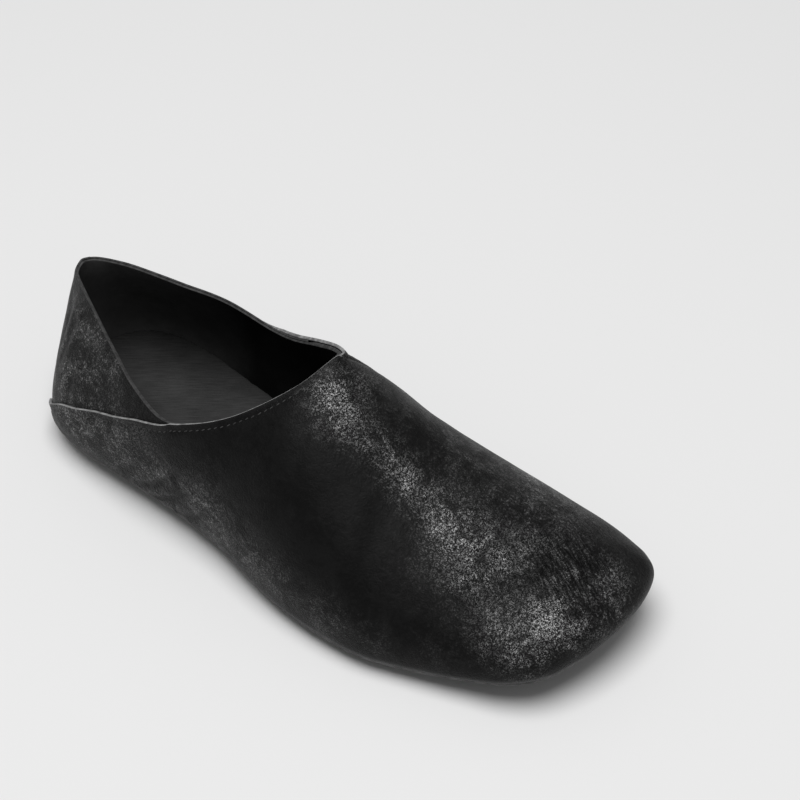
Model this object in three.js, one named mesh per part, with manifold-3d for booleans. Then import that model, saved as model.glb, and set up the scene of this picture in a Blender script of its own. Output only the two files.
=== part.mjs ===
// Slip-on leather loafer for the right foot, with a low soft heel, in millimetres.
// +Z is up, +Y points to the toe and +X to the outer side of the foot.
import * as THREE from 'three';
import { mergeVertices } from 'three/addons/utils/BufferGeometryUtils.js';
import Module from 'manifold-3d';

const wasm = await Module();
wasm.setup();

// Driving dimensions
const lastLength = 280;
const ballWidth = 111;
const instepHeight = 93;
const heelHeight = 78;
const wall = 1.8; // leather and lining together
const vampStep = 1.2; // the vamp leather lies this far proud of the quarter
const seat = 0.3; // gap between pieces that touch
const featherLift = 0.5; // the lower edge of the upper stands this far over the midsole
const midsoleThickness = 1.8;
const midsoleReach = 0.5; // the midsole edge shows this far outside the feather line
const insoleThickness = 3.5;
const insoleInset = wall + 0.7; // the insole lies clear of the lining
const soleEdgeRadius = 3.2;
const soleDraft = 1.2; // the sole wall draws in by this much towards the ground
const soleEdgeTurns = [0, 0.25, 0.5]; // corners of the rounded sole edge, in half turns

// Mesh density
const stepsPerSection = 2;
const stepsUp = 10;
const liningDrop = 0.012; // the lining stops this share of the wall short of the vamp's cut edge
const weldDistance = 1e-3;
const tangentStep = 0.02; // a direction along the feather line is taken over this many sections

function table(columns, rows) {
  return rows.map((row) => Object.fromEntries(columns.map((name, i) => [name, row[i]])));
}

// Feather line, where the upper meets the sole, seen from above.
// at: share of the length from the heel; outer, inner: share of the ball width from the axis.
// inset: how far the outsole stays inside the feather line, in millimetres.
const outline = table(['at', 'outer', 'inner', 'inset'], [
  [0.000, -0.018, -0.018, 11.0],
  [0.006, 0.106, -0.142, 10.5],
  [0.025, 0.210, -0.246, 9.5],
  [0.057, 0.286, -0.322, 8.0],
  [0.107, 0.328, -0.358, 7.0],
  [0.175, 0.345, -0.354, 6.5],
  [0.245, 0.359, -0.322, 6.5],
  [0.310, 0.376, -0.294, 6.5],
  [0.368, 0.397, -0.282, 6.5],
  [0.420, 0.424, -0.284, 6.5],
  [0.468, 0.460, -0.298, 6.0],
  [0.512, 0.490, -0.322, 6.0],
  [0.558, 0.513, -0.352, 6.0],
  [0.620, 0.530, -0.384, 6.0],
  [0.690, 0.528, -0.410, 6.0],
  [0.765, 0.486, -0.419, 6.5],
  [0.838, 0.438, -0.399, 7.0],
  [0.900, 0.390, -0.362, 7.5],
  [0.942, 0.316, -0.321, 8.0],
  [0.969, 0.190, -0.287, 8.5],
  [0.987, 0.040, -0.232, 9.0],
  [0.994, -0.105, -0.105, 9.0],
]);

// Heights above the floor. ground: underside of the sole; feather: lower edge of the upper.
const heights = table(['at', 'ground', 'feather'], [
  [0.00, 0.0, 13.0],
  [0.05, 0.0, 12.5],
  [0.20, 0.0, 12.0],
  [0.235, 0.6, 12.0],
  [0.26, 2.4, 12.0],
  [0.32, 3.4, 12.2],
  [0.40, 2.8, 11.6],
  [0.48, 0.8, 10.4],
  [0.53, 0.0, 9.4],
  [0.60, 0.0, 8.8],
  [0.70, 0.0, 8.8],
  [0.76, 0.4, 9.6],
  [0.83, 2.6, 12.4],
  [0.90, 6.8, 16.8],
  [0.96, 11.4, 21.2],
  [1.00, 14.6, 24.2],
]);

// Upper end of each section: the top edge of the quarter, then the vamp edge up to the throat,
// then the crest of the foot as far as the toe.
// x: share of the ball width; at: share of the length.
// z: share of the heel height up to the junction, and of the instep height after it.
// lean: angle of the wall at its upper end, in degrees above the horizontal.
// swell: how far the wall bellies out above the sole; rise, crown: reach of its two bends.
const railColumns = [
  'x', 'at', 'z', 'innerX', 'innerAt', 'innerZ',
  'lean', 'innerLean', 'swell', 'rise', 'crown', 'innerCrown',
];
const rail = table(railColumns, [
  [-0.030, 0.031, 0.990, -0.030, 0.031, 0.990, 71, 71, 2.2, 0.35, 0.34, 0.34],
  [0.014, 0.034, 0.970, -0.061, 0.034, 0.984, 77, 77, 1.8, 0.31, 0.34, 0.34],
  [0.041, 0.046, 0.966, -0.092, 0.045, 0.977, 78, 78, 2.0, 0.28, 0.34, 0.34],
  [0.081, 0.072, 0.960, -0.122, 0.067, 0.966, 67, 67, 3.2, 0.35, 0.34, 0.34],
  [0.137, 0.112, 0.930, -0.156, 0.106, 0.946, 62, 62, 4.3, 0.38, 0.34, 0.34],
  [0.216, 0.170, 0.876, -0.200, 0.175, 0.902, 58, 58, 5.0, 0.40, 0.34, 0.34],
  [0.293, 0.232, 0.810, -0.246, 0.245, 0.855, 58, 58, 5.2, 0.40, 0.34, 0.34],
  [0.338, 0.296, 0.760, -0.270, 0.320, 0.772, 60, 64, 5.2, 0.40, 0.34, 0.34],
  [0.321, 0.350, 0.691, -0.222, 0.374, 0.722, 54, 56, 5.2, 0.42, 0.34, 0.34],
  [0.267, 0.402, 0.762, -0.195, 0.425, 0.800, 44, 53, 5.0, 0.44, 0.36, 0.31],
  [0.189, 0.446, 0.846, -0.159, 0.465, 0.875, 32, 62, 5.0, 0.46, 0.40, 0.28],
  [0.087, 0.482, 0.923, -0.113, 0.492, 0.933, 16, 66, 4.5, 0.50, 0.44, 0.25],
  [-0.062, 0.500, 0.972, -0.062, 0.500, 0.972, 10, 50, 4.5, 0.52, 0.46, 0.17],
  [-0.024, 0.575, 0.810, -0.024, 0.575, 0.810, 0, 8, 4.2, 0.51, 0.46, 0.30],
  [-0.025, 0.660, 0.655, -0.025, 0.660, 0.655, 0, 4, 4.1, 0.52, 0.48, 0.38],
  [-0.031, 0.748, 0.551, -0.031, 0.748, 0.551, 0, 0, 4.0, 0.54, 0.50, 0.38],
  [-0.038, 0.820, 0.492, -0.038, 0.820, 0.492, 0, 0, 3.3, 0.55, 0.52, 0.42],
  [-0.046, 0.862, 0.464, -0.046, 0.862, 0.464, 0, 0, 3.1, 0.57, 0.54, 0.46],
  [-0.052, 0.884, 0.453, -0.052, 0.884, 0.453, 1, 1, 3.0, 0.58, 0.56, 0.50],
  [-0.052, 0.884, 0.453, -0.052, 0.884, 0.453, 3, 3, 3.0, 0.60, 0.57, 0.53],
  [-0.052, 0.884, 0.453, -0.052, 0.884, 0.453, 6, 6, 3.2, 0.62, 0.58, 0.56],
  [-0.052, 0.884, 0.453, -0.052, 0.884, 0.453, 8, 8, 3.4, 0.63, 0.58, 0.58],
]);
const seamSection = 2; // where the seam leaves the sole
const junctionSection = 7; // where the seam reaches the top edge
const throatSection = 12; // where the two sides of the vamp meet
const toeSection = 18; // from here on every section ends at the last point of the crest

// Seam where the vamp lies over the quarter. share: how far up the wall it runs.
const seam = table(['at', 'share'], [
  [0.025, 0.04],
  [0.036, 0.09],
  [0.050, 0.15],
  [0.080, 0.26],
  [0.120, 0.35],
  [0.160, 0.45],
  [0.205, 0.57],
  [0.260, 0.77],
  [0.300, 0.92],
  [0.330, 1.00],
]);

const lastSection = outline.length - 1;
const outer = 1;
const inner = -1;

// Smooth curve through four evenly spaced values, between the middle two
function blend(a, b, c, d, t) {
  const slopeB = (c - a) / 2;
  const slopeC = (d - b) / 2;
  const lift = b - c;
  return b + t * (slopeB + t * (-3 * lift - 2 * slopeB - slopeC + t * (2 * lift + slopeB + slopeC)));
}

// Value of read(row, side) at section s, running on to the other side round the heel and at turn
function alongSections(read, side, s, turn = lastSection) {
  const first = Math.min(Math.floor(s), turn - 1);
  const knot = (i) => {
    if (i < 0) return read(-i, -side);
    if (i > turn) return read(2 * turn - i, -side);
    return read(i, side);
  };
  return blend(knot(first - 1), knot(first), knot(first + 1), knot(first + 2), s - first);
}

// Value of a column at a place along the length, through unevenly spaced rows.
// Level rows stay level, so the sole's flat spots are flat.
function alongLength(rows, column, at) {
  const last = rows.length - 1;
  if (at <= rows[0].at) return rows[0][column];
  if (at >= rows[last].at) return rows[last][column];
  const i = rows.findIndex((row) => row.at > at) - 1;
  const slope = (k) => {
    const low = rows[Math.max(k - 1, 0)];
    const high = rows[Math.min(k + 1, last)];
    const level = rows.some((row, j) => Math.abs(j - k) === 1 && row[column] === rows[k][column]);
    return level ? 0 : (high[column] - low[column]) / (high.at - low.at);
  };
  const span = rows[i + 1].at - rows[i].at;
  const t = (at - rows[i].at) / span;
  const start = rows[i][column];
  const end = rows[i + 1][column];
  const bend = start * (2 * t ** 3 - 3 * t ** 2 + 1) + end * (3 * t ** 2 - 2 * t ** 3);
  return bend + span * (slope(i) * (t ** 3 - 2 * t ** 2 + t) + slope(i + 1) * (t ** 3 - t ** 2));
}

const featherHeight = (y) => alongLength(heights, 'feather', y / lastLength);
const groundHeight = (y) => alongLength(heights, 'ground', y / lastLength);

// Point of the feather line on one side at section s, moved out by reach in plan
function featherPoint(side, s, reach = 0) {
  const plan = (at) => new THREE.Vector2(
    ballWidth * alongSections((i, k) => (k === outer ? outline[i].outer : outline[i].inner), side, at),
    lastLength * alongSections((i) => outline[i].at, side, at),
  );
  const from = plan(Math.max(s - tangentStep, 0));
  const to = plan(Math.min(s + tangentStep, lastSection));
  const along = to.sub(from).normalize();
  const point = plan(s);
  if (s < tangentStep) along.set(side, 0);
  if (s > lastSection - tangentStep) along.set(-side, 0);
  return new THREE.Vector2(point.x + side * along.y * reach, point.y - side * along.x * reach);
}

// Upper end of the section at s; past the throat both sides share the crest
function railPoint(side, section) {
  const s = Math.min(section, toeSection);
  const turn = s < throatSection ? throatSection : toeSection;
  const read = (outerName, innerName, k, scale) => alongSections(
    (i, at) => scale(i) * rail[i][at === outer ? outerName : innerName], k, s, turn);
  const place = (k) => new THREE.Vector3(
    read('x', 'innerX', k, () => ballWidth),
    read('at', 'innerAt', k, () => lastLength),
    read('z', 'innerZ', k, (i) => (i <= junctionSection ? heelHeight : instepHeight)),
  );
  if (s < throatSection) return place(side);
  return place(outer).add(place(inner)).multiplyScalar(0.5);
}

// Outer face of the quarter leather: one bend from the feather line up to the rail.
// share runs from 0 at the sole to 1 at the upper end.
function wallPoint(side, s, share) {
  const plan = featherPoint(side, s);
  const foot = new THREE.Vector3(plan.x, plan.y, featherHeight(plan.y));
  const top = railPoint(side, s);
  const out = new THREE.Vector3(foot.x - top.x, foot.y - top.y, 0);
  const width = out.length();
  out.normalize();
  const height = top.z - foot.z;
  const column = (name, innerName = name) => alongSections(
    (i, at) => rail[i][at === outer ? name : innerName], side, s);
  const lean = THREE.MathUtils.degToRad(column('lean', 'innerLean'));
  const reach = column('crown', 'innerCrown') * Math.hypot(width, height * Math.sin(lean));
  const low = foot.clone().addScaledVector(out, column('swell'));
  low.z += column('rise') * height;
  const high = top.clone().addScaledVector(out, reach * Math.cos(lean));
  high.z -= reach * Math.sin(lean);
  return new THREE.CubicBezierCurve3(foot, low, high, top).getPoint(share);
}

// Merged geometry from a list of triangles, each three vectors, without the collapsed ones
function sheet(triangles) {
  const loose = new THREE.BufferGeometry().setFromPoints(triangles.flat());
  const merged = mergeVertices(loose, weldDistance);
  const index = merged.index.array;
  const kept = [];
  for (let i = 0; i < index.length; i += 3) {
    const [a, b, c] = index.slice(i, i + 3);
    if (a !== b && b !== c && c !== a) kept.push(a, b, c);
  }
  merged.setIndex(kept);
  return merged;
}

// Two triangles over four corners, in turn round the quad
function quad(a, b, c, d) {
  return [[a, b, c], [a, c, d]];
}

// Sheet over both sides of the foot, from section start to the toe, between two shares of the wall
function footSheet(start, bottom, share) {
  const triangles = [];
  const steps = Math.round((lastSection - start) * stepsPerSection);
  for (const side of [outer, inner]) {
    const column = (k) => {
      const s = start + (lastSection - start) * (k / steps);
      const top = share(s);
      const rise = (top - bottom) / stepsUp;
      return Array.from({ length: stepsUp + 1 }, (_, j) => wallPoint(side, s, bottom + rise * j));
    };
    let low = column(0);
    for (let k = 1; k <= steps; k += 1) {
      const high = column(k);
      for (let j = 0; j < stepsUp; j += 1) {
        const corners = [low[j], high[j], high[j + 1], low[j + 1]];
        triangles.push(...quad(...(side === outer ? corners : corners.reverse())));
      }
      low = high;
    }
  }
  return sheet(triangles);
}

// Closed shell on a sheet: from inside it by depth to outside it by lift, with its edges walled
function shell(surface, depth, lift) {
  surface.computeVertexNormals();
  const points = surface.attributes.position;
  const normals = surface.attributes.normal;
  const count = points.count;
  const positions = [];
  for (const offset of [lift, -depth]) {
    for (let i = 0; i < count; i += 1) {
      const point = new THREE.Vector3().fromBufferAttribute(points, i);
      point.addScaledVector(new THREE.Vector3().fromBufferAttribute(normals, i), offset);
      positions.push(point.x, point.y, point.z);
    }
  }
  const index = Array.from(surface.index.array);
  const edges = new Set();
  for (let i = 0; i < index.length; i += 3) {
    for (let k = 0; k < 3; k += 1) edges.add(`${index[i + k]}_${index[i + ((k + 1) % 3)]}`);
  }
  const triangles = [...index];
  for (let i = 0; i < index.length; i += 3) {
    triangles.push(index[i] + count, index[i + 2] + count, index[i + 1] + count);
  }
  for (const edge of edges) {
    const [a, b] = edge.split('_').map(Number);
    if (edges.has(`${b}_${a}`)) continue;
    triangles.push(b, a, a + count, b, a + count, b + count);
  }
  return solid(positions, triangles);
}

function solid(positions, triangles) {
  return new wasm.Manifold(new wasm.Mesh({
    numProp: 3,
    vertProperties: new Float32Array(positions),
    triVerts: new Uint32Array(triangles),
  }));
}

function toGeometry(manifold) {
  const mesh = manifold.getMesh();
  const geometry = new THREE.BufferGeometry();
  geometry.setAttribute('position', new THREE.BufferAttribute(mesh.vertProperties, mesh.numProp));
  geometry.setIndex(new THREE.BufferAttribute(mesh.triVerts, 1));
  return geometry;
}

// The quarter and lining go all round; the vamp leather is laid on, and its back edge is a step.
function upper() {
  const underVamp = (s) => s > junctionSection && s < throatSection;
  const quarter = footSheet(0, 0, (s) => (underVamp(s) ? 1 - liningDrop : 1));
  const vamp = footSheet(seamSection, liningDrop, (s) => {
    const at = alongSections((i) => outline[i].at, outer, s);
    return alongLength(seam, 'share', at);
  });
  const cover = wall / 2;
  return toGeometry(shell(quarter, wall, 0).add(shell(vamp, cover, vampStep)));
}

// Plate that follows the feather line: levels go up its edge, each with its own reach and height
function plate(levels) {
  const triangles = [];
  const steps = lastSection * stepsPerSection;
  const ring = (side, k) => levels.map(({ reach, height }) => {
    const s = k / stepsPerSection;
    const plan = featherPoint(side, s, reach(s));
    return new THREE.Vector3(plan.x, plan.y, height(plan.y));
  });
  for (let k = 0; k < steps; k += 1) {
    const a = ring(outer, k);
    const b = ring(outer, k + 1);
    const c = ring(inner, k + 1);
    const d = ring(inner, k);
    const top = levels.length - 1;
    triangles.push(...quad(a[top], b[top], c[top], d[top]), ...quad(d[0], c[0], b[0], a[0]));
    for (let j = 0; j < top; j += 1) {
      triangles.push(...quad(a[j], b[j], b[j + 1], a[j + 1]), ...quad(c[j], d[j], d[j + 1], c[j + 1]));
    }
  }
  return sheet(triangles);
}

function midsole() {
  const top = (y) => featherHeight(y) - featherLift;
  return plate([
    { reach: () => midsoleReach, height: (y) => top(y) - midsoleThickness },
    { reach: () => midsoleReach, height: top },
  ]);
}

function insole() {
  const base = (y) => featherHeight(y) - featherLift + seat;
  return plate([
    { reach: () => -insoleInset, height: base },
    { reach: () => -insoleInset, height: (y) => base(y) + insoleThickness },
  ]);
}

function outsole() {
  const reach = (s) => -alongSections((i) => outline[i].inset, outer, s);
  const height = (y) => featherHeight(y) - featherLift - midsoleThickness - seat;
  const edge = soleEdgeTurns.map((turn) => ({
    reach: (s) => reach(s) - soleDraft - soleEdgeRadius * (1 - Math.sin(turn * Math.PI)),
    height: (y) => groundHeight(y) + soleEdgeRadius * (1 - Math.cos(turn * Math.PI)),
  }));
  return plate([...edge, { reach, height }]);
}

const finishes = {
  leather: { color: 0x1b1b1c, roughness: 0.55, metalness: 0 },
  board: { color: 0x151515, roughness: 0.8, metalness: 0 },
  footbed: { color: 0x2c2c2d, roughness: 0.85, metalness: 0 },
  rubber: { color: 0x121212, roughness: 0.75, metalness: 0 },
};

function piece(name, geometry, finish) {
  const mesh = new THREE.Mesh(geometry, new THREE.MeshStandardMaterial(finishes[finish]));
  mesh.name = name;
  return mesh;
}

const shoe = new THREE.Group();
shoe.add(
  piece('upper', upper(), 'leather'),
  piece('insole', insole(), 'footbed'),
  piece('midsole', midsole(), 'board'),
  piece('outsole', outsole(), 'rubber'),
);

// The origin lies on the floor under the middle of the shoe
const box = new THREE.Box3().setFromObject(shoe);
const middle = box.getCenter(new THREE.Vector3());
shoe.position.set(-middle.x, -middle.y, -box.min.z);

export default shoe;
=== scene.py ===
import math
from functools import lru_cache

import bmesh
import bpy
from mathutils import Matrix, Vector, noise
from mathutils.bvhtree import BVHTree
from mathutils.kdtree import KDTree


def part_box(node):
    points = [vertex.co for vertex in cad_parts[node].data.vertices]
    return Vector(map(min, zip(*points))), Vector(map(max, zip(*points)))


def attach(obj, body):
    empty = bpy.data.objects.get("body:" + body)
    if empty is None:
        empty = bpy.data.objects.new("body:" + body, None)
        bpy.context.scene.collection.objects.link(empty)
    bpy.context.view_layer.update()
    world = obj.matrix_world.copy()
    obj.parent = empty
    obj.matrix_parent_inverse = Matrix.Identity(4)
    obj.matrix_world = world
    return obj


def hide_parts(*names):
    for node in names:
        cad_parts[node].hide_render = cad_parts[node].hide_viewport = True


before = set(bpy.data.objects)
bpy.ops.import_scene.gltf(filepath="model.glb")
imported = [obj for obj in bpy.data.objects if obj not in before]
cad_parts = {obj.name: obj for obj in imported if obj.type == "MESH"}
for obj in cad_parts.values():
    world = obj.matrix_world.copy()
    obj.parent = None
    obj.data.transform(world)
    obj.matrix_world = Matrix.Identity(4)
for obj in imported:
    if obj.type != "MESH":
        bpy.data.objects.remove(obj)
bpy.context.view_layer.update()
mm = 0.001
print("frame loaded, nodes:", sorted(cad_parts))


def table(names, rows):
    return [dict(zip(names.split(), row)) for row in rows]


# The last, as in the solids: shares of the length, the ball width and the heights
last = {"length": 280, "ball": 111, "instep": 93, "heel": 78}
outer, inner = 1, -1
seamSection, junctionSection, throatSection, toeSection = 2, 7, 12, 18

outline = table("at outer inner inset", [
    (0.000, -0.018, -0.018, 11.0),
    (0.006, 0.106, -0.142, 10.5),
    (0.025, 0.210, -0.246, 9.5),
    (0.057, 0.286, -0.322, 8.0),
    (0.107, 0.328, -0.358, 7.0),
    (0.175, 0.345, -0.354, 6.5),
    (0.245, 0.359, -0.322, 6.5),
    (0.310, 0.376, -0.294, 6.5),
    (0.368, 0.397, -0.282, 6.5),
    (0.420, 0.424, -0.284, 6.5),
    (0.468, 0.460, -0.298, 6.0),
    (0.512, 0.490, -0.322, 6.0),
    (0.558, 0.513, -0.352, 6.0),
    (0.620, 0.530, -0.384, 6.0),
    (0.690, 0.528, -0.410, 6.0),
    (0.765, 0.486, -0.419, 6.5),
    (0.838, 0.438, -0.399, 7.0),
    (0.900, 0.390, -0.362, 7.5),
    (0.942, 0.316, -0.321, 8.0),
    (0.969, 0.190, -0.287, 8.5),
    (0.987, 0.040, -0.232, 9.0),
    (0.994, -0.105, -0.105, 9.0),
])
heights = table("at ground feather", [  # underside of the sole and lower edge of the upper
    (0.00, 0.0, 13.0), (0.05, 0.0, 12.5), (0.20, 0.0, 12.0), (0.235, 0.6, 12.0),
    (0.26, 2.4, 12.0), (0.32, 3.4, 12.2), (0.40, 2.8, 11.6), (0.48, 0.8, 10.4),
    (0.53, 0.0, 9.4), (0.60, 0.0, 8.8), (0.70, 0.0, 8.8), (0.76, 0.4, 9.6),
    (0.83, 2.6, 12.4), (0.90, 6.8, 16.8), (0.96, 11.4, 21.2), (1.00, 14.6, 24.2),
])
rail = table("x at z innerX innerAt innerZ lean innerLean swell rise crown innerCrown", [
    (-0.030, 0.031, 0.990, -0.030, 0.031, 0.990, 71, 71, 2.2, 0.35, 0.34, 0.34),
    (0.014, 0.034, 0.970, -0.061, 0.034, 0.984, 77, 77, 1.8, 0.31, 0.34, 0.34),
    (0.041, 0.046, 0.966, -0.092, 0.045, 0.977, 78, 78, 2.0, 0.28, 0.34, 0.34),
    (0.081, 0.072, 0.960, -0.122, 0.067, 0.966, 67, 67, 3.2, 0.35, 0.34, 0.34),
    (0.137, 0.112, 0.930, -0.156, 0.106, 0.946, 62, 62, 4.3, 0.38, 0.34, 0.34),
    (0.216, 0.170, 0.876, -0.200, 0.175, 0.902, 58, 58, 5.0, 0.40, 0.34, 0.34),
    (0.293, 0.232, 0.810, -0.246, 0.245, 0.855, 58, 58, 5.2, 0.40, 0.34, 0.34),
    (0.338, 0.296, 0.760, -0.270, 0.320, 0.772, 60, 64, 5.2, 0.40, 0.34, 0.34),
    (0.321, 0.350, 0.691, -0.222, 0.374, 0.722, 54, 56, 5.2, 0.42, 0.34, 0.34),
    (0.267, 0.402, 0.762, -0.195, 0.425, 0.800, 44, 53, 5.0, 0.44, 0.36, 0.31),
    (0.189, 0.446, 0.846, -0.159, 0.465, 0.875, 32, 62, 5.0, 0.46, 0.40, 0.28),
    (0.087, 0.482, 0.923, -0.113, 0.492, 0.933, 16, 66, 4.5, 0.50, 0.44, 0.25),
    (-0.062, 0.500, 0.972, -0.062, 0.500, 0.972, 10, 50, 4.5, 0.52, 0.46, 0.17),
    (-0.024, 0.575, 0.810, -0.024, 0.575, 0.810, 0, 8, 4.2, 0.51, 0.46, 0.30),
    (-0.025, 0.660, 0.655, -0.025, 0.660, 0.655, 0, 4, 4.1, 0.52, 0.48, 0.38),
    (-0.031, 0.748, 0.551, -0.031, 0.748, 0.551, 0, 0, 4.0, 0.54, 0.50, 0.38),
    (-0.038, 0.820, 0.492, -0.038, 0.820, 0.492, 0, 0, 3.3, 0.55, 0.52, 0.42),
    (-0.046, 0.862, 0.464, -0.046, 0.862, 0.464, 0, 0, 3.1, 0.57, 0.54, 0.46),
    (-0.052, 0.884, 0.453, -0.052, 0.884, 0.453, 1, 1, 3.0, 0.58, 0.56, 0.50),
    (-0.052, 0.884, 0.453, -0.052, 0.884, 0.453, 3, 3, 3.0, 0.60, 0.57, 0.53),
    (-0.052, 0.884, 0.453, -0.052, 0.884, 0.453, 6, 6, 3.2, 0.62, 0.58, 0.56),
    (-0.052, 0.884, 0.453, -0.052, 0.884, 0.453, 8, 8, 3.4, 0.63, 0.58, 0.58),
])
seam = table("at share", [
    (0.025, 0.04), (0.036, 0.09), (0.050, 0.15), (0.080, 0.26), (0.120, 0.35),
    (0.160, 0.45), (0.205, 0.57), (0.260, 0.77), (0.300, 0.92), (0.330, 1.00),
])
lastSection = len(outline) - 1


def blend(a, b, c, d, t):
    slopeB, slopeC, lift = (c - a) / 2, (d - b) / 2, b - c
    return b + t * (slopeB + t * (-3 * lift - 2 * slopeB - slopeC + t * (2 * lift + slopeB + slopeC)))


def alongSections(read, side, s, turn=lastSection):
    first = min(math.floor(s), turn - 1)

    def knot(i):
        if i < 0:
            return read(-i, -side)
        if i > turn:
            return read(2 * turn - i, -side)
        return read(i, side)

    return blend(knot(first - 1), knot(first), knot(first + 1), knot(first + 2), s - first)


def alongLength(rows, column, at):
    end = len(rows) - 1
    if at <= rows[0]["at"]:
        return rows[0][column]
    if at >= rows[end]["at"]:
        return rows[end][column]
    i = next(k for k, row in enumerate(rows) if row["at"] > at) - 1

    def slope(k):
        level = any(abs(j - k) == 1 and row[column] == rows[k][column] for j, row in enumerate(rows))
        low, high = rows[max(k - 1, 0)], rows[min(k + 1, end)]
        return 0 if level else (high[column] - low[column]) / (high["at"] - low["at"])

    span = rows[i + 1]["at"] - rows[i]["at"]
    t = (at - rows[i]["at"]) / span
    bend = rows[i][column] * (2 * t ** 3 - 3 * t ** 2 + 1) + rows[i + 1][column] * (3 * t ** 2 - 2 * t ** 3)
    return bend + span * (slope(i) * (t ** 3 - 2 * t ** 2 + t) + slope(i + 1) * (t ** 3 - t ** 2))


def featherHeight(y):
    return alongLength(heights, "feather", y / last["length"])


def groundHeight(y):
    return alongLength(heights, "ground", y / last["length"])


def outlineAt(s):
    return alongSections(lambda i, side: outline[i]["at"], outer, s)


@lru_cache(maxsize=None)
def planPoint(side, s):
    width = alongSections(lambda i, k: outline[i]["outer" if k == outer else "inner"], side, s)
    return Vector((last["ball"] * width, last["length"] * outlineAt(s)))


def featherPoint(side, s, reach=0.0):
    step = 0.02
    along = (planPoint(side, min(s + step, lastSection)) - planPoint(side, max(s - step, 0))).normalized()
    if s < step:
        along = Vector((side, 0))
    if s > lastSection - step:
        along = Vector((-side, 0))
    point = planPoint(side, s)
    return Vector((point.x + side * along.y * reach, point.y - side * along.x * reach))


def railPoint(side, section):
    s = min(section, toeSection)
    turn = throatSection if s < throatSection else toeSection

    def read(name, k, scale):
        other = "inner" + name[0].upper() + name[1:]
        return alongSections(lambda i, at: scale(i) * rail[i][name if at == outer else other], k, s, turn)

    def place(k):
        return Vector((
            read("x", k, lambda i: last["ball"]),
            read("at", k, lambda i: last["length"]),
            read("z", k, lambda i: last["heel"] if i <= junctionSection else last["instep"]),
        ))

    return place(side) if s < throatSection else (place(outer) + place(inner)) / 2


@lru_cache(maxsize=None)
def wallBends(side, s):
    plan = featherPoint(side, s)
    foot = Vector((plan.x, plan.y, featherHeight(plan.y)))
    top = railPoint(side, s)
    out = Vector((foot.x - top.x, foot.y - top.y, 0))
    width = out.length
    out.normalize()
    height = top.z - foot.z

    def column(name, other=None):
        return alongSections(lambda i, k: rail[i][name if k == outer else other or name], side, s)

    lean = math.radians(column("lean", "innerLean"))
    reach = column("crown", "innerCrown") * math.hypot(width, height * math.sin(lean))
    low = foot + out * column("swell") + Vector((0, 0, column("rise") * height))
    high = top + out * reach * math.cos(lean) - Vector((0, 0, reach * math.sin(lean)))
    return foot, low, high, top


def wallPoint(side, s, share):
    foot, low, high, top = wallBends(side, round(s, 5))
    rest = 1 - share
    return foot * rest ** 3 + low * 3 * rest ** 2 * share + high * 3 * rest * share ** 2 + top * share ** 3


def seamShare(s):
    return alongLength(seam, "share", outlineAt(s))


# The solids' origin lies under the middle of the shoe, and the last's at the heel
boardReach = 0.5  # the midsole's board shows this far past the outline
boardDrop = 0.5  # and its top lies this far under the upper's lower edge
boardEdge = [
    featherPoint(side, k / 8, boardReach) for side in (outer, inner) for k in range(8 * lastSection + 1)]
ownMiddle = Vector((
    (min(p.x for p in boardEdge) + max(p.x for p in boardEdge)) / 2,
    (min(p.y for p in boardEdge) + max(p.y for p in boardEdge)) / 2,
))
soleLow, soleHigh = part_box("midsole")
shift = Vector(((soleLow.x + soleHigh.x) / 2, (soleLow.y + soleHigh.y) / 2, 0)) - ownMiddle.to_3d() * mm
print("last laid in the frame, shift in mm:", [round(v / mm, 2) for v in shift])


def toFrame(point):
    return point * mm + shift


# Shape of the leather over the last, in millimetres
leatherForm = {
    "slackSize": 42, "slackDepth": 0.5,
    "rippleSize": 13, "rippleDepth": 0.16,
    "creaseReach": 34, "creaseFade": 7,  # how far a crease is felt, and the length of its ends
    "stitchInset": 3.0, "stitchTrough": 0.35, "troughWidth": 0.8, "lip": 0.25, "lipWidth": 1.3,
    "calmEdge": 6,  # the leather lies flatter within this distance of the vamp's edge
}
creases = table("path width depth", [  # troughs with a soft ridge beside them
    # wrinkles over the waist, above the sole on the outer side
    ([(41, 70, 15), (43, 80, 22), (44, 88, 31)], 2.0, 0.55),
    ([(42, 82, 14), (44, 92, 22), (45, 100, 32)], 2.2, 0.60),
    ([(43, 95, 13), (46, 105, 21), (47, 112, 30)], 2.0, 0.45),
    ([(40, 58, 15), (42, 66, 22), (42, 72, 30)], 1.8, 0.40),
    # soft folds along the toe
    ([(10, 240, 44), (5, 251, 42), (4, 262, 39)], 1.3, 0.20),
    ([(-4, 240, 45), (-6, 252, 42), (-4, 263, 39)], 1.3, 0.22),
    ([(20, 222, 44), (14, 236, 42), (12, 246, 42)], 1.8, 0.20),
    # bend line over the ball
    ([(52, 188, 32), (40, 186, 48), (24, 184, 58)], 4.0, 0.35),
    ([(-34, 190, 30), (-28, 189, 44), (-18, 187, 54)], 3.0, 0.40),
    ([(-36, 200, 26), (-30, 200, 40), (-20, 199, 50)], 2.5, 0.35),
    # upright folds beside the heel
    ([(33, 26, 22), (32, 26, 34), (29, 27, 46)], 2.2, 0.45),
    ([(36, 38, 20), (35, 39, 32), (31, 40, 45)], 2.4, 0.40),
    ([(25, 15, 40), (21, 17, 52), (16, 19, 63)], 2.0, 0.45),
    ([(18, 9, 38), (14, 11, 50), (10, 12, 62)], 2.0, 0.40),
    ([(-36, 26, 22), (-35, 27, 34), (-31, 28, 46)], 2.2, 0.45),
    ([(-38, 42, 20), (-36, 43, 32), (-32, 44, 44)], 2.4, 0.40),
    ([(-27, 14, 38), (-24, 16, 50), (-19, 18, 62)], 2.0, 0.40),
    # drag lines below the junction on the inner side
    ([(-32, 92, 20), (-33, 100, 30), (-31, 106, 41)], 2.2, 0.50),
    ([(-32, 108, 18), (-33, 116, 30), (-31, 122, 42)], 2.2, 0.45),
])


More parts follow.
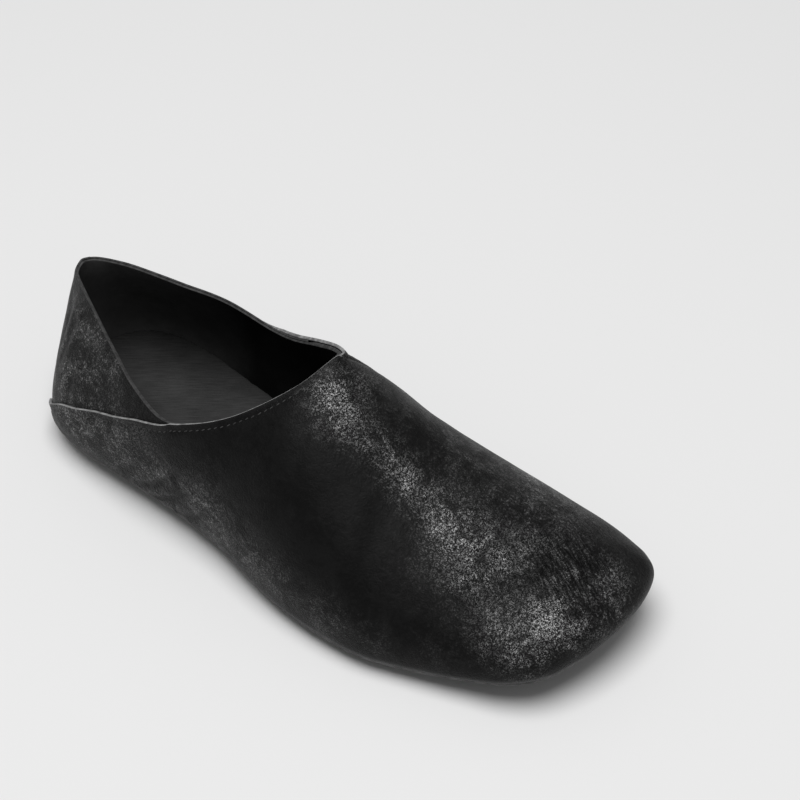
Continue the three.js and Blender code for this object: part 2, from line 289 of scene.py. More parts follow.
def clamp(value):
    return max(0.0, min(1.0, value))


def segmentDistance(point, a, b):
    along = b - a
    t = clamp((point - a).dot(along) / along.length_squared)
    return (point - (a + along * t)).length


creasePaths = [([Vector(p) for p in row["path"]], row["width"], row["depth"]) for row in creases]


def creaseSides(point):
    # depth of the troughs and height of the ridges beside them
    trough = ridge = 0.0
    for path, width, depth in creasePaths:
        if (point - path[1]).length > leatherForm["creaseReach"]:
            continue
        near = min(segmentDistance(point, a, b) for a, b in zip(path[:-1], path[1:]))
        ends = min((point - path[0]).length, (point - path[-1]).length) / leatherForm["creaseFade"]
        fade = min(1.0, 0.35 + ends)
        trough += depth * fade * math.exp(-(near / width) ** 2)
        ridge += depth * fade * math.exp(-((near - 2 * width) / width) ** 2)
    return trough, ridge


def relief(point):
    form = leatherForm
    trough, ridge = creaseSides(point)
    slack = form["slackDepth"] * noise.noise(point / form["slackSize"])
    ripple = form["rippleDepth"] * noise.noise(point / form["rippleSize"] + Vector((7, 3, 5)))
    return slack + ripple + 0.5 * ridge - trough


def lineShare(line, count, length, margins):
    # the outermost lines keep set distances from the edge, in millimetres
    near = min(line, count - line)
    squeeze = min(1.0, length / (3 * margins[-1])) / max(length, 1e-6)
    if near < len(margins):
        share = margins[near] * squeeze
    else:
        border = margins[-1] * squeeze
        share = border + (1 - 2 * border) * (near - len(margins) + 1) / (count - 2 * len(margins) + 2)
    return share if line == near else 1 - share


def wallSpan(side, s, low, high):
    return (wallPoint(side, s, high) - wallPoint(side, s, low)).length


edgeLines = (0, 0.7, 1.4, 2.1, 2.7, 3.3, 3.9, 4.6)


def layOnFoot(columns, rows, middle, ends, lowShare, highShare):
    # a flat grid: x runs round the foot from the sheet's middle, y runs up the wall
    bm = bmesh.new()
    bmesh.ops.create_grid(bm, x_segments=2 * columns, y_segments=rows, size=1)
    section = bm.verts.layers.float.new("section")
    for v in bm.verts:
        side = outer if v.co.x > 0 else inner
        s = middle + (ends - middle) * round(abs(v.co.x) * columns) / columns
        low, high = lowShare(s), highShare(s)
        line = round((v.co.y + 1) / 2 * rows)
        share = low + (high - low) * lineShare(line, rows, wallSpan(side, s, low, high), edgeLines)
        v[section] = s
        v.co = wallPoint(side, s, share)
    bmesh.ops.remove_doubles(bm, verts=bm.verts, dist=0.02)
    bm.normal_update()
    middleOfFoot = Vector((5, 140, 30))
    facing = sum((v.co - middleOfFoot).dot(v.normal) for v in bm.verts)
    if facing < 0:
        bmesh.ops.reverse_faces(bm, faces=bm.faces)
        bm.normal_update()
    return bm


def thicken(bm, innerOffset, outerOffset, bend):
    # the sheet becomes the inner face, its copy is moved out, and the rim has the second material
    normalLayer = bm.verts.layers.float_vector.new("outward")
    bendLayer = bm.verts.layers.float.new("bend")
    for v in bm.verts:
        v[normalLayer] = v.normal
        v[bendLayer] = bend(v.co)
    faces = set(bm.faces)
    grown = bmesh.ops.extrude_face_region(bm, geom=list(faces), use_keep_orig=True)["geom"]
    moved = {e for e in grown if isinstance(e, bmesh.types.BMVert)}
    faces |= {e for e in grown if isinstance(e, bmesh.types.BMFace)}
    for v in bm.verts:
        offset = outerOffset(v) if v in moved else innerOffset(v)
        v.co += v[normalLayer] * (offset + v[bendLayer])
    bmesh.ops.recalc_face_normals(bm, faces=bm.faces)
    rim = {f for f in bm.faces if f not in faces}
    for f in rim:
        f.material_index = 1
    return rim


def roundRim(bm, rim, radius, segments):
    # only where the faces beside the edge have room for the radius
    edges = []
    for e in {e for f in rim for e in f.edges}:
        beside = [f for f in e.link_faces if f not in rim]
        shortest = min(x.calc_length() for f in e.link_faces for x in f.edges)
        if len(beside) == 1 and shortest > 1.05 * radius:
            edges.append(e)
    made = bmesh.ops.bevel(
        bm, geom=edges, offset=radius, offset_type="OFFSET", segments=segments,
        profile=0.5, affect="EDGES", clamp_overlap=True, material=-1)
    for f in made["faces"]:
        f.material_index = 1


def finishPiece(bm, name, materials, node):
    for v in bm.verts:
        v.co = toFrame(v.co)
    mesh = bpy.data.meshes.new(name)
    bm.to_mesh(mesh)
    bm.free()
    for polygon in mesh.polygons:
        polygon.use_smooth = True
    piece = bpy.data.objects.new(name, mesh)
    bpy.context.scene.collection.objects.link(piece)
    for material in materials:
        mesh.materials.append(material)
    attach(piece, "root")
    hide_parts(node)
    print(name, "made,", len(mesh.polygons), "faces")


# Shader maths: a socket that adds Math nodes when it is used in an expression
class Reading:
    def __init__(self, shader, socket):
        self.shader, self.socket = shader, socket

    def joined(self, operation, *values):
        made = self.shader.add("ShaderNodeMath", {"operation": operation}, dict(enumerate(values)))
        return Reading(self.shader, made.outputs[0])

    def __add__(self, other):
        return self.joined("ADD", self, other)

    def __radd__(self, other):
        return self.joined("ADD", other, self)

    def __sub__(self, other):
        return self.joined("SUBTRACT", self, other)

    def __rsub__(self, other):
        return self.joined("SUBTRACT", other, self)

    def __mul__(self, other):
        return self.joined("MULTIPLY", self, other)

    def __rmul__(self, other):
        return self.joined("MULTIPLY", other, self)

    def absolute(self):
        return self.joined("ABSOLUTE", self)

    def least(self, other):
        return self.joined("MINIMUM", self, other)

    def between(self, low, high):
        made = self.shader.add(
            "ShaderNodeMapRange", {"interpolation_type": "SMOOTHSTEP"},
            {"Value": self, "From Min": low, "From Max": high})
        return Reading(self.shader, made.outputs[0])


class Shader:
    def __init__(self, name):
        self.material = bpy.data.materials.new(name)
        self.material.use_nodes = True
        self.tree = self.material.node_tree
        self.surface = self.tree.nodes["Principled BSDF"]

    def add(self, kind, settings=None, inputs=None):
        made = self.tree.nodes.new(kind)
        for name, value in (settings or {}).items():
            setattr(made, name, value)
        self.fill(made, inputs or {})
        return made

    def fill(self, made, inputs):
        for name, value in inputs.items():
            if isinstance(value, Reading):
                value = value.socket
            if isinstance(value, bpy.types.NodeSocket):
                self.tree.links.new(value, made.inputs[name])
            else:
                made.inputs[name].default_value = value

    def place(self, stretch=(1, 1, 1), turn=0.0):
        # Object coordinates in millimetres, turned about the vertical before they are stretched
        spot = self.add("ShaderNodeTexCoord").outputs["Object"]
        turned = self.add("ShaderNodeMapping", {}, {"Vector": spot, "Rotation": (0, 0, turn)}).outputs[0]
        size = tuple(1000 * v for v in stretch)
        return self.add("ShaderNodeMapping", {}, {"Vector": turned, "Scale": size}).outputs[0]

    def noise(self, place, size, detail, roughness, distortion=0.0):
        made = self.add("ShaderNodeTexNoise", {}, {
            "Vector": place, "Scale": 1 / size, "Detail": detail,
            "Roughness": roughness, "Distortion": distortion})
        return Reading(self, made.outputs[0])

    def cells(self, place, size, feature="F1"):
        made = self.add("ShaderNodeTexVoronoi", {"feature": feature}, {"Vector": place, "Scale": 1 / size})
        return Reading(self, made.outputs["Distance"])

    def painted(self, name):
        return Reading(self, self.add("ShaderNodeAttribute", {"attribute_name": name}).outputs["Fac"])

    def mix(self, factor, first, second):
        made = self.add("ShaderNodeMix", {"data_type": "RGBA"}, {0: factor, 6: first, 7: second})
        return made.outputs[2]

    def bump(self, height, distance, strength, after=None):
        # distance is in millimetres
        inputs = {"Strength": strength, "Distance": distance * mm, "Height": height}
        if after:
            inputs["Normal"] = after
        return self.add("ShaderNodeBump", {}, inputs).outputs[0]


def grey(value):
    return (value, value, value, 1)


# the pale fleck colour is a painted highlight laid over worn crackle
leatherLook = {
    # the edge colour is the pale cut edge at the topline, and along the foot a painted highlight with wear
    "black": grey(0.0032), "soft": grey(0.013), "worn": grey(0.36), "highlightFleck": grey(0.80), "edge": grey(0.34),
    "specular": 0.10, "roughness": 0.43,
}
leatherGrain = {  # sizes of the patterns, in millimetres
    "cloud": 14, "blotch": 9, "veins": 5.5, "smear": 4.2, "lengthwise": 2.0, "cracks": 1.8,
    "fine": 0.95, "upright": 0.9, "pores": 0.8, "speck": 0.45,
}


def makeLeather(name, streaks):
    # masks painted on the pieces further down: rub is wear, the crest and toe patches are wear with a
    # painted highlight, fold marks fine crease lines, bumped and with painted shade, edge is pale cut edge
    # above and a painted highlight with wear along the foot, and crease is painted shade in the troughs
    look, size = leatherLook, leatherGrain
    shader = Shader(name)
    place = shader.place()
    rub, highlightAndWear, fold = shader.painted("rub"), shader.painted("highlightAndWear"), shader.painted("fold")
    edge, crease = shader.painted("edge"), shader.painted("crease")
    cloud = shader.noise(place, size["cloud"], 5, 0.6, 0.8)
    smear = shader.noise(place, size["smear"], 6, 0.72, 1.6)
    fine = shader.noise(place, size["fine"], 4, 0.75)
    speck = shader.noise(place, size["speck"], 2, 0.6)
    pores = shader.cells(place, size["pores"])
    cracks = shader.cells(place, size["cracks"], "DISTANCE_TO_EDGE").between(0.0, 0.12)
    veins = (shader.noise(place, size["veins"], 5, 0.6, 2.0) - 0.5).absolute().between(0.0, 0.045)
    lengthwise = shader.noise(shader.place((1, 0.12, 0.4), 0.5), size["lengthwise"], 4, 0.6, 0.5)
    upright = shader.noise(shader.place((1, 1, 0.14)), size["upright"], 4, 0.65, 0.5)
    patch = (cloud * 0.5 + smear * 0.5).between(0.43, 0.58)
    blotch = shader.noise(place, size["blotch"], 4, 0.65, 1.2).between(0.38, 0.60)
    dots = (fine * 0.5 + speck * 0.5).between(0.485, 0.555)
    drawn = (fold * 0.6 + streaks).least(0.85)
    lines = upright.between(0.42, 0.60) * drawn + (1.0 - drawn)
    split = (lengthwise - 0.5).absolute().between(0.0, 0.06)
    # painted shade: the fine crease lines and the crease troughs lose their wear and stay dark
    outsideCreaseShade = (split * fold + (1.0 - fold)) * (1.0 - crease)
    torn = (cracks * 0.55 + 0.45) * (veins * 0.8 + 0.2) * outsideCreaseShade
    soft = patch * 0.25 + rub * (patch * 0.5 + 0.1) + highlightAndWear * 0.3
    wornShare = rub * (patch * 0.88 + 0.05) * (dots * 0.95 + 0.05) * torn * lines
    # pale flecks: worn crackle with a painted highlight along the crest and the toe
    highlightFleckShare = highlightAndWear * (blotch * 0.8 + 0.15) * (patch * 0.4 + 0.6) * dots * torn
    color = shader.mix(soft.least(1.0), look["black"], look["soft"])
    color = shader.mix(wornShare.least(1.0), color, look["worn"])
    color = shader.mix(highlightFleckShare.least(1.0), color, look["highlightFleck"])
    # pale cut edge at the topline, painted highlight with wear along the foot
    color = shader.mix((edge * (fine * 1.5)).least(1.0), color, look["edge"])
    height = pores * 0.4 + fine * (rub * 0.7 + 0.6) + speck * (highlightAndWear * 0.9 + 0.15)
    normal = shader.bump(height + cracks * (highlightAndWear * 0.2 + 0.15), 0.26, 0.8)
    normal = shader.bump(smear * 0.6 + veins * (rub * 0.5 + 0.1) + upright * streaks, 0.6, 0.5, normal)
    normal = shader.bump(split * fold, 0.6, 0.9, normal)
    rough = look["roughness"] + wornShare * 0.10 - highlightFleckShare * 0.10 + (fine - 0.5) * 0.16
    shader.fill(shader.surface, {
        "Base Color": color, "Roughness": rough, "Normal": normal,
        "Specular IOR Level": look["specular"]})
    return shader.material


plainLooks = table("name dark light cloud fine bump roughness specular stretch", [
    ("cutEdge", 0.06, 0.42, 3, 0.4, 0.15, 0.70, 0.3, 1),
    ("darkEdge", 0.010, 0.075, 2, 0.4, 0.15, 0.75, 0.3, 1),
    ("sewingThread", 0.02, 0.06, 2, 0.25, 0.06, 0.60, 0.3, 3),
    ("soleBoard", 0.006, 0.016, 6, 0.7, 0.10, 0.65, 0.3, 1),
    # the board's rim: wear and a painted highlight along its edge
    ("rubbedBoard", 0.01, 0.13, 6, 0.7, 0.10, 0.65, 0.3, 1),
    ("blackRubber", 0.006, 0.012, 9, 0.5, 0.08, 0.72, 0.3, 1),
])


def makePlain(look):
    shader = Shader(look["name"])
    place = shader.place((look["stretch"], 1, 1))
    cloud = shader.noise(place, look["cloud"], 5, 0.65)
    fine = shader.noise(place, look["fine"], 4, 0.7)
    share = cloud.between(0.3, 0.7) * 0.6 + fine * 0.4
    shader.fill(shader.surface, {
        "Base Color": shader.mix(share, grey(look["dark"]), grey(look["light"])),
        "Normal": shader.bump(fine, look["bump"], 0.7),
        "Roughness": look["roughness"] + (fine - 0.5) * 0.15, "Specular IOR Level": look["specular"]})
    return shader.material


liningLook = {
    "heel": (grey(0.075), grey(0.125)), "shadedFront": (grey(0.004), grey(0.009)),
    "cloud": 12, "fine": 0.6, "roughness": 0.85,
}


def makeLining():
    # painted light and shade: paler at the heel, black toward the toe where the light does not reach
    look = liningLook
    shader = Shader("liningSkin")
    place = shader.place()
    cloud = shader.noise(place, look["cloud"], 5, 0.65)
    fine = shader.noise(place, look["fine"], 4, 0.7)
    share = cloud.between(0.3, 0.7) * 0.6 + fine * 0.4
    heel, shadedFront = shader.mix(share, *look["heel"]), shader.mix(share, *look["shadedFront"])
    shader.fill(shader.surface, {
        "Base Color": shader.mix(shader.painted("shadedFront"), heel, shadedFront),
        "Normal": shader.bump(fine, 0.08, 0.7),
        "Roughness": look["roughness"] + (fine - 0.5) * 0.15, "Specular IOR Level": 0.06})
    return shader.material


footbedLook = {
    "dark": grey(0.016), "light": grey(0.050), "roughness": 0.86,
    "threads": 0.9, "cloud": 22, "pile": 0.5, "turn": -0.59,
}


def makeFootbed():
    # brushed across the shoe
    look = footbedLook
    shader = Shader("brushedFootbed")
    across, place = shader.place((1.6, 0.10, 1), look["turn"]), shader.place()
    threads = shader.noise(across, look["threads"], 4, 0.6)
    cloud = shader.noise(place, look["cloud"], 4, 0.6)
    pile = shader.noise(place, look["pile"], 3, 0.7)
    share = (threads * 0.55 + cloud * 0.35 + pile * 0.25).between(0.30, 0.85)
    normal = shader.bump(threads * 0.7 + pile * 0.4, 0.18, 0.6)
    shader.fill(shader.surface, {
        "Base Color": shader.mix(share, look["dark"], look["light"]), "Normal": normal,
        "Roughness": look["roughness"], "Specular IOR Level": 0.25})
    return shader.material


vampLeather = makeLeather("vampLeather", 0.0)
quarterLeather = makeLeather("quarterLeather", 0.7)
plain = {look["name"]: makePlain(look) for look in plainLooks}
liningSkin = makeLining()
footbed = makeFootbed()
print("materials made")

# Worn places on the leather, each a centre on the last, a radius and a strength.
# Quarter and heel side first, then the outer side, the far side and the back
rubbed = table("spot radius strength", [
    ((29, 27, 45), 14, 0.95), ((20, 33, 66), 13, 0.90), ((37, 35, 31), 14, 0.85), ((29, 50, 61), 11, 0.60),
    ((14, 10, 62), 12, 0.90), ((24, 16, 34), 11, 0.85), ((12, 4, 22), 12, 0.80), ((20, 20, 52), 12, 0.80),
    ((42, 71, 29), 17, 0.85), ((42, 79, 24), 13, 0.75), ((42, 86, 16), 14, 0.85), ((40, 55, 32), 16, 0.75),
    ((46, 107, 30), 14, 0.70), ((47, 118, 20), 13, 0.75), ((52, 137, 24), 12, 0.60),
    ((57, 155, 21), 10, 0.50), ((59, 177, 18), 10, 0.40), ((57, 199, 17), 9, 0.15),
    ((50, 222, 22), 10, 0.10), ((-9, 151, 82), 12, 0.30), ((-20, 175, 66), 14, 0.22),
    ((-25, 195, 50), 18, 0.25), ((-27, 238, 38), 15, 0.40), ((-8, 205, 55), 16, 0.18),
    ((-12, 228, 46), 16, 0.30), ((4, 245, 43), 15, 0.35), ((-5, 262, 39), 12, 0.50),
    ((1, 275, 31), 10, 0.85), ((33, 238, 38), 12, 0.35), ((28, 212, 45), 12, 0.25),
    ((-36, 32, 34), 14, 0.80), ((-30, 40, 58), 12, 0.55), ((-36, 70, 30), 16, 0.70),
    ((-32, 110, 30), 17, 0.70), ((-36, 160, 26), 14, 0.50), ((-42, 205, 24), 14, 0.60),
    ((-30, 225, 38), 14, 0.45), ((-2, 2, 30), 12, 0.70), ((-3, 6, 58), 12, 0.55),
])
highlightAndWearPatches = table("spot radius strength", [  # pale, crackled patches along the crest and the toe: worn crackle and a painted highlight where the crest faces the light above
    ((8, 147, 84), 9, 0.80), ((12, 154, 79), 8, 0.55), ((10, 165, 72), 7, 0.35), ((8, 175, 67), 7, 0.55),
    ((11, 186, 60), 8, 0.65), ((11, 196, 55), 7, 0.35), ((15, 206, 51), 8, 0.70), ((14, 218, 47), 10, 0.96),
    ((17, 230, 44), 9, 0.75), ((28, 224, 41), 8, 0.35), ((35, 248, 32), 9, 0.60), ((24, 257, 36), 9, 0.85),
    ((18, 265, 35), 9, 0.75), ((38, 257, 27), 7, 0.45), ((-8, 267, 37), 6, 0.40), ((5, 257, 40), 6, 0.35),
    ((0, 238, 44), 7, 0.40), ((-38, 210, 34), 12, 0.55), ((-30, 150, 55), 12, 0.50),
    ((-33, 62, 44), 12, 0.40), ((30, 27, 47), 8, 0.30), ((-30, 27, 50), 9, 0.45), ((42, 78, 25), 9, 0.20),
])
folded = table("spot radius strength", [  # fine lengthwise creases, bumped, with painted shade along their lines
    ((2, 258, 40), 15, 0.9), ((-6, 250, 41), 16, 0.8), ((8, 270, 35), 10, 0.6), ((-22, 245, 38), 16, 0.5),
    ((20, 226, 43), 14, 0.4), ((-20, 215, 46), 16, 0.4), ((40, 95, 26), 18, 0.6), ((41, 70, 24), 18, 0.6),
    ((-34, 100, 28), 20, 0.6), ((-36, 60, 26), 18, 0.5), ((44, 130, 30), 14, 0.3),
])
creaseRubAndShade = {"ridge": 1.6, "trough": 2.2}  # extra rub on the ridges, painted shade in the troughs


def paint(bm):
    for name, rows in (("rub", rubbed), ("highlightAndWear", highlightAndWearPatches), ("fold", folded)):
        layer = bm.verts.layers.float.new(name)
        spots = [(Vector(row["spot"]), row["radius"], row["strength"]) for row in rows]
        for v in bm.verts:
            clear = 1.0
            for spot, radius, strength in spots:
                if abs(v.co.y - spot.y) < 2.5 * radius:
                    gap = (v.co - spot).length / radius
                    clear *= 1 - strength * math.exp(-gap * gap)
            v[layer] = 1 - clear
    # crease ridges get more rub, and the troughs get painted shade
    rub, crease = bm.verts.layers.float["rub"], bm.verts.layers.float.new("crease")
    for v in bm.verts:
        trough, ridge = creaseSides(v.co)
        v[rub] = min(1.0, v[rub] * (1 + creaseRubAndShade["ridge"] * ridge))
        v[crease] = min(1.0, creaseRubAndShade["trough"] * trough)


# Vamp: the leather over the foot, lapped over the quarter behind
vampCut = {
    "columns": 200, "rows": 60, "lift": 1.2, "under": -0.15, "rim": 0.4,
    "paleEdgeLines": 0.75, "footHighlightAndWear": 1.4,  # widths of the pale cut-edge line at the topline and of the painted highlight with wear above the sole
}
edgeSections = [seamSection + (throatSection - seamSection) * k / 500 for k in range(501)]
vampEdges = [[wallPoint(side, s, seamShare(s)) for s in edgeSections] for side in (outer, inner)]


def treeOf(points):
    tree = KDTree(len(points))
    for k, point in enumerate(points):
        tree.insert(point, k)
    tree.balance()
    return tree


edgeTree = treeOf(vampEdges[0] + vampEdges[1])
footTree = treeOf([wallPoint(outer, 10 + k / 25, 0.0) for k in range(201)])


def paleEdgeLines(point):
    # the topline's pale cut edge is palest forward of the junction; the line along the foot is a painted
    # highlight on the rounded lower edge, with wear
    top, foot = edgeTree.find(point)[2], footTree.find(point)[2]
    share = 0.3 + 0.7 * clamp((point.y - 66) / 20)
    return (share * math.exp(-(top / vampCut["paleEdgeLines"]) ** 2)
            + 0.5 * math.exp(-(foot / vampCut["footHighlightAndWear"]) ** 2))


def vampBend(point):
    form = leatherForm
    gap = edgeTree.find(point)[2]
    trough = math.exp(-((gap - form["stitchInset"]) / form["troughWidth"]) ** 2)
    lip = math.exp(-(gap / form["lipWidth"]) ** 2)
    return (relief(point) * min(1.0, gap / form["calmEdge"])
            - form["stitchTrough"] * trough + form["lip"] * lip)


bm = layOnFoot(vampCut["columns"], vampCut["rows"], lastSection, seamSection, lambda s: 0.0, seamShare)
rim = thicken(bm, lambda v: vampCut["under"], lambda v: vampCut["lift"], vampBend)
roundRim(bm, rim, vampCut["rim"], 3)
# pale cut edge at the topline, painted highlight with wear along the foot of the vamp
edgeLayer = bm.verts.layers.float.new("edge")
for v in bm.verts:
    v[edgeLayer] = paleEdgeLines(v.co)
paint(bm)
vampSkin = BVHTree.FromBMesh(bm)
finishPiece(bm, "vamp", [vampLeather, plain["cutEdge"]], "upper")

# Quarter: the heel leather, tucked under the vamp, where it lies flat
quarterCut = {"columns": 110, "rows": 52, "end": 8.6, "under": -0.9, "rim": 0.3}
bm = layOnFoot(
    quarterCut["columns"], quarterCut["rows"], 0, quarterCut["end"], lambda s: 0.0, lambda s: 1.0)
rim = thicken(
    bm, lambda v: quarterCut["under"], lambda v: 0.0,
    lambda point: relief(point) * min(1.0, max(0.15, (70 - point.y) / 30)))
roundRim(bm, rim, quarterCut["rim"], 2)
paint(bm)
finishPiece(bm, "quarter", [quarterLeather, plain["darkEdge"]], "upper")

# Lining: the inner face of the whole upper, a little lower than the leather's edge
liningCut = {
    "columns": 190, "rows": 44, "drop": 0.006, "rim": 0.25,
    "face": -1.8, "back": -0.95, "vampBack": -0.25,  # its two faces, and its back where the quarter ends
    # the lining's colour runs from the paler, lit heel to painted shade, black, toward the toe
    "litPaleTo": 20, "shadedBlackFrom": 75,
}


def liningTop(s):
    return 1.0 - liningCut["drop"] * clamp((throatSection + 0.3 - s) / 0.3)


bm = layOnFoot(liningCut["columns"], liningCut["rows"], lastSection, 0, lambda s: 0.0, liningTop)
sectionLayer = bm.verts.layers.float["section"]


def liningBack(v):
    pastQuarter = clamp((v[sectionLayer] - quarterCut["end"]) / 0.3)
    return liningCut["back"] + (liningCut["vampBack"] - liningCut["back"]) * pastQuarter


rim = thicken(
    bm, lambda v: liningCut["face"], liningBack,
    lambda point: 0.5 * relief(point) * min(1.0, edgeTree.find(point)[2] / 8))
roundRim(bm, rim, liningCut["rim"], 2)
# painted shade toward the toe of the lining
shadedFrontLayer = bm.verts.layers.float.new("shadedFront")
for v in bm.verts:
    v[shadedFrontLayer] = clamp((v.co.y - liningCut["litPaleTo"]) / (liningCut["shadedBlackFrom"] - liningCut["litPaleTo"]))
finishPiece(bm, "lining", [liningSkin, plain["darkEdge"]], "upper")

# Stitches along the vamp's edge
stitchCut = {"pitch": 2.8, "long": 1.7, "thick": 0.5, "slant": 14}
bm = bmesh.new()
for side, path in zip((outer, inner), vampEdges):
    travelled = 0.0
    for k in range(4, len(path) - 4):
        travelled += (path[k] - path[k - 1]).length
        if travelled < stitchCut["pitch"]:
            continue
        travelled -= stitchCut["pitch"]
        s = edgeSections[k]
        along = (path[k + 1] - path[k - 1]).normalized()
        up = (path[k] - wallPoint(side, s, seamShare(s) - 0.03)).normalized()
        outward = side * along.cross(up).normalized()
        inward = side * along.cross(outward)
        aim = path[k] + outward * vampCut["lift"] + inward * leatherForm["stitchInset"]
        spot, normal = vampSkin.find_nearest(aim)[:2]
        if normal.dot(outward) < 0.3:
            continue
        along = (along - normal * along.dot(normal)).normalized()
        turn = Matrix((along, normal.cross(along), normal)).transposed().to_4x4()
        slant = Matrix.Rotation(math.radians(stitchCut["slant"]), 4, "Z")
        size = Matrix.Diagonal((stitchCut["long"] / 2, stitchCut["thick"] / 2, stitchCut["thick"] / 2, 1))
        lying = Matrix.Rotation(math.pi / 2, 4, "Y")
        bmesh.ops.create_uvsphere(
            bm, u_segments=6, v_segments=5, radius=1,
            matrix=Matrix.Translation(spot) @ turn @ slant @ size @ lying)
finishPiece(bm, "stitches", [plain["sewingThread"]], "upper")


# Plates that follow the outline: insole, midsole edge and rubber sole
def edgeTreeAt(reach):
    sections = [k / 10 for k in range(10 * lastSection + 1)]
    return treeOf([featherPoint(side, s, reach(s)).to_3d() for side in (outer, inner) for s in sections])


def layPlate(columns, across, top, low, margins):
    # top and low give the reach of the plate's rim and its height at a point
    bm = bmesh.new()
    bmesh.ops.create_grid(bm, x_segments=across, y_segments=columns, size=1)
    acrossLayer = bm.verts.layers.float.new("across")
    section = bm.verts.layers.float.new("section")

    def place(v, level):
        reach, height = level
        left, right = (featherPoint(side, v[section], reach(v[section])) for side in (inner, outer))
        line = round((v[acrossLayer] + 1) / 2 * across)
        plan = left.lerp(right, lineShare(line, across, (right - left).length, margins))
        v.co = (plan.x, plan.y, height(plan.x, plan.y))

    for v in bm.verts:
        v[acrossLayer] = v.co.x
        v[section] = lastSection * round((v.co.y + 1) / 2 * columns) / columns
        place(v, top)
    bmesh.ops.remove_doubles(bm, verts=bm.verts, dist=0.01)
    topFaces = set(bm.faces)
    grown = bmesh.ops.extrude_face_region(bm, geom=list(topFaces), use_keep_orig=True)["geom"]
    for v in (e for e in grown if isinstance(e, bmesh.types.BMVert)):
        place(v, low)
    bmesh.ops.recalc_face_normals(bm, faces=bm.faces)
    return bm


def rounded(gap, radius):
    # how far a face falls away at this distance from its rim
    rest = max(0.0, radius - gap)
    return radius - math.sqrt(max(0.0, radius ** 2 - rest ** 2))


insoleCut = {
    "columns": 150, "across": 28, "lines": (0, 0.2, 0.5, 1.0, 3.0),
    "thick": 3.5, "inset": 2.5, "gap": 0.3, "rim": 1.0, "wave": 0.15, "waveSize": 16,
}


def insoleReach(s):
    return -insoleCut["inset"]


insoleTree = edgeTreeAt(insoleReach)


def insoleBase(x, y):
    return featherHeight(y) - boardDrop + insoleCut["gap"]


def insoleTop(x, y):
    gap = insoleTree.find((x, y, 0))[2]
    wave = insoleCut["wave"] * noise.noise(Vector((x, y, 0)) / insoleCut["waveSize"])
    return insoleBase(x, y) + insoleCut["thick"] + wave - rounded(gap, insoleCut["rim"])


bm = layPlate(
    insoleCut["columns"], insoleCut["across"],
    (insoleReach, insoleTop), (insoleReach, insoleBase), insoleCut["lines"])
finishPiece(bm, "footbed", [footbed], "insole")

midsoleCut = {
    "columns": 168, "across": 14, "lines": (0, 0.15, 0.5, 2.0), "thick": 1.8, "rim": 0.5,
}


def midsoleReach(s):
    return boardReach


midsoleTree = edgeTreeAt(midsoleReach)


def midsoleTop(x, y):
    gap = midsoleTree.find((x, y, 0))[2]
    return featherHeight(y) - boardDrop - rounded(gap, midsoleCut["rim"])


def midsoleBase(x, y):
    gap = midsoleTree.find((x, y, 0))[2]
    return featherHeight(y) - boardDrop - midsoleCut["thick"] + rounded(gap, midsoleCut["rim"])


bm = layPlate(
    midsoleCut["columns"], midsoleCut["across"],
    (midsoleReach, midsoleTop), (midsoleReach, midsoleBase), midsoleCut["lines"])
bm.normal_update()
for face in bm.faces:
    face.material_index = 1 if abs(face.normal.z) < 0.8 else 0  # the rim is paler: wear and a painted highlight along the board's edge
finishPiece(bm, "soleEdge", [plain["soleBoard"], plain["rubbedBoard"]], "midsole")

soleCut = {
    "columns": 330, "across": 90, "lines": (0, 0.2, 0.6, 1.2, 2.0, 3.2),
    "draft": 1.2, "rim": 3.2, "gap": 0.3,
    "pitch": 6.5, "groove": 1.3, "depth": 0.8, "zigzag": 3.2, "zigzagWidth": 14, "margin": 9.0,
    "heelTread": (0.03, 0.22), "ballTread": (0.47, 0.93),  # shares of the length
}


def soleReach(s):
    return -alongSections(lambda i, side: outline[i]["inset"], outer, s)


def lowReach(s):
    return soleReach(s) - soleCut["draft"]


lowTree = edgeTreeAt(lowReach)


def soleTop(x, y):
    return featherHeight(y) - boardDrop - midsoleCut["thick"] - soleCut["gap"]


def soleBase(x, y):
    # zigzag grooves under the heel and the ball, none at the arch or the rim
    share = y / last["length"]
    gap = lowTree.find((x, y, 0))[2]
    treaded = any(start < share < end for start, end in (soleCut["heelTread"], soleCut["ballTread"]))
    swing = soleCut["zigzag"] * 2 * abs((x / soleCut["zigzagWidth"]) % 1 - 0.5)
    fromMiddle = abs(((y + swing) / soleCut["pitch"]) % 1 - 0.5) * soleCut["pitch"]
    groove = clamp((gap - soleCut["margin"]) / 1.5) * clamp((soleCut["groove"] - fromMiddle) / 0.5)
    return groundHeight(y) + soleCut["depth"] * treaded * groove + rounded(gap, soleCut["rim"])


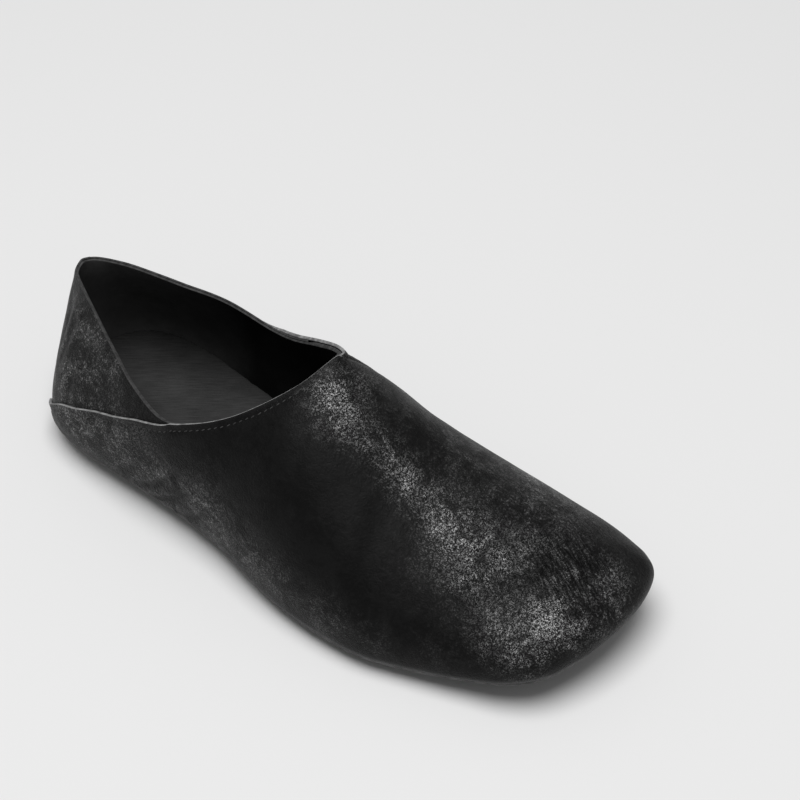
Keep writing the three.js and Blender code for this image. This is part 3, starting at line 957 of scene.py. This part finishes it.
bm = layPlate(
    soleCut["columns"], soleCut["across"], (soleReach, soleTop), (lowReach, soleBase), soleCut["lines"])
finishPiece(bm, "rubberSole", [plain["blackRubber"]], "outsole")

# Studio: pale floor, one large soft light above, a fill from the room
studio = {
    "floor": 0.80, "room": 0.24, "keyPower": 43.5, "keySize": 1.5,
    "keyPlace": (0.25, 0.05, 2.2), "keyAim": (0, 0, 0.03),
}
bm = bmesh.new()
bmesh.ops.create_grid(bm, x_segments=1, y_segments=1, size=4)
bmesh.ops.translate(bm, verts=bm.verts, vec=(0, 0, -0.0002))  # just under the sole
floorMesh = bpy.data.meshes.new("floor")
bm.to_mesh(floorMesh)
bm.free()
floor = bpy.data.objects.new("floor", floorMesh)
bpy.context.scene.collection.objects.link(floor)
floorShader = Shader("paleFloor")
floorShader.fill(floorShader.surface, {
    "Base Color": grey(studio["floor"]), "Roughness": 0.9, "Specular IOR Level": 0.1})
floorMesh.materials.append(floorShader.material)

world = bpy.data.worlds.new("room")
world.use_nodes = True
world.node_tree.nodes["Background"].inputs["Color"].default_value = grey(1.0)
world.node_tree.nodes["Background"].inputs["Strength"].default_value = studio["room"]
bpy.context.scene.world = world
bpy.context.scene.view_settings.view_transform = "Standard"


def aimAt(made, place, aim):
    made.location = place
    made.rotation_euler = (aim - place).to_track_quat("-Z", "Y").to_euler()
    bpy.context.scene.collection.objects.link(made)


keyData = bpy.data.lights.new("keyLight", "AREA")
keyData.energy, keyData.size, keyData.shape = studio["keyPower"], studio["keySize"], "DISK"
aimAt(bpy.data.objects.new("keyLight", keyData), Vector(studio["keyPlace"]), Vector(studio["keyAim"]))

# Camera where the photograph was taken from, in millimetres from the heel
view = {"place": (455.6, 479.6, 669.4), "aim": (-71.9, 126.0, 0.0), "lens": 92.7}
cameraData = bpy.data.cameras.new("camera")
cameraData.lens = view["lens"]
cameraData.sensor_width = 36
cameraData.clip_start = 0.01
camera = bpy.data.objects.new("camera", cameraData)
aimAt(camera, toFrame(Vector(view["place"])), toFrame(Vector(view["aim"])))
bpy.context.scene.camera = camera
print("studio and camera set")
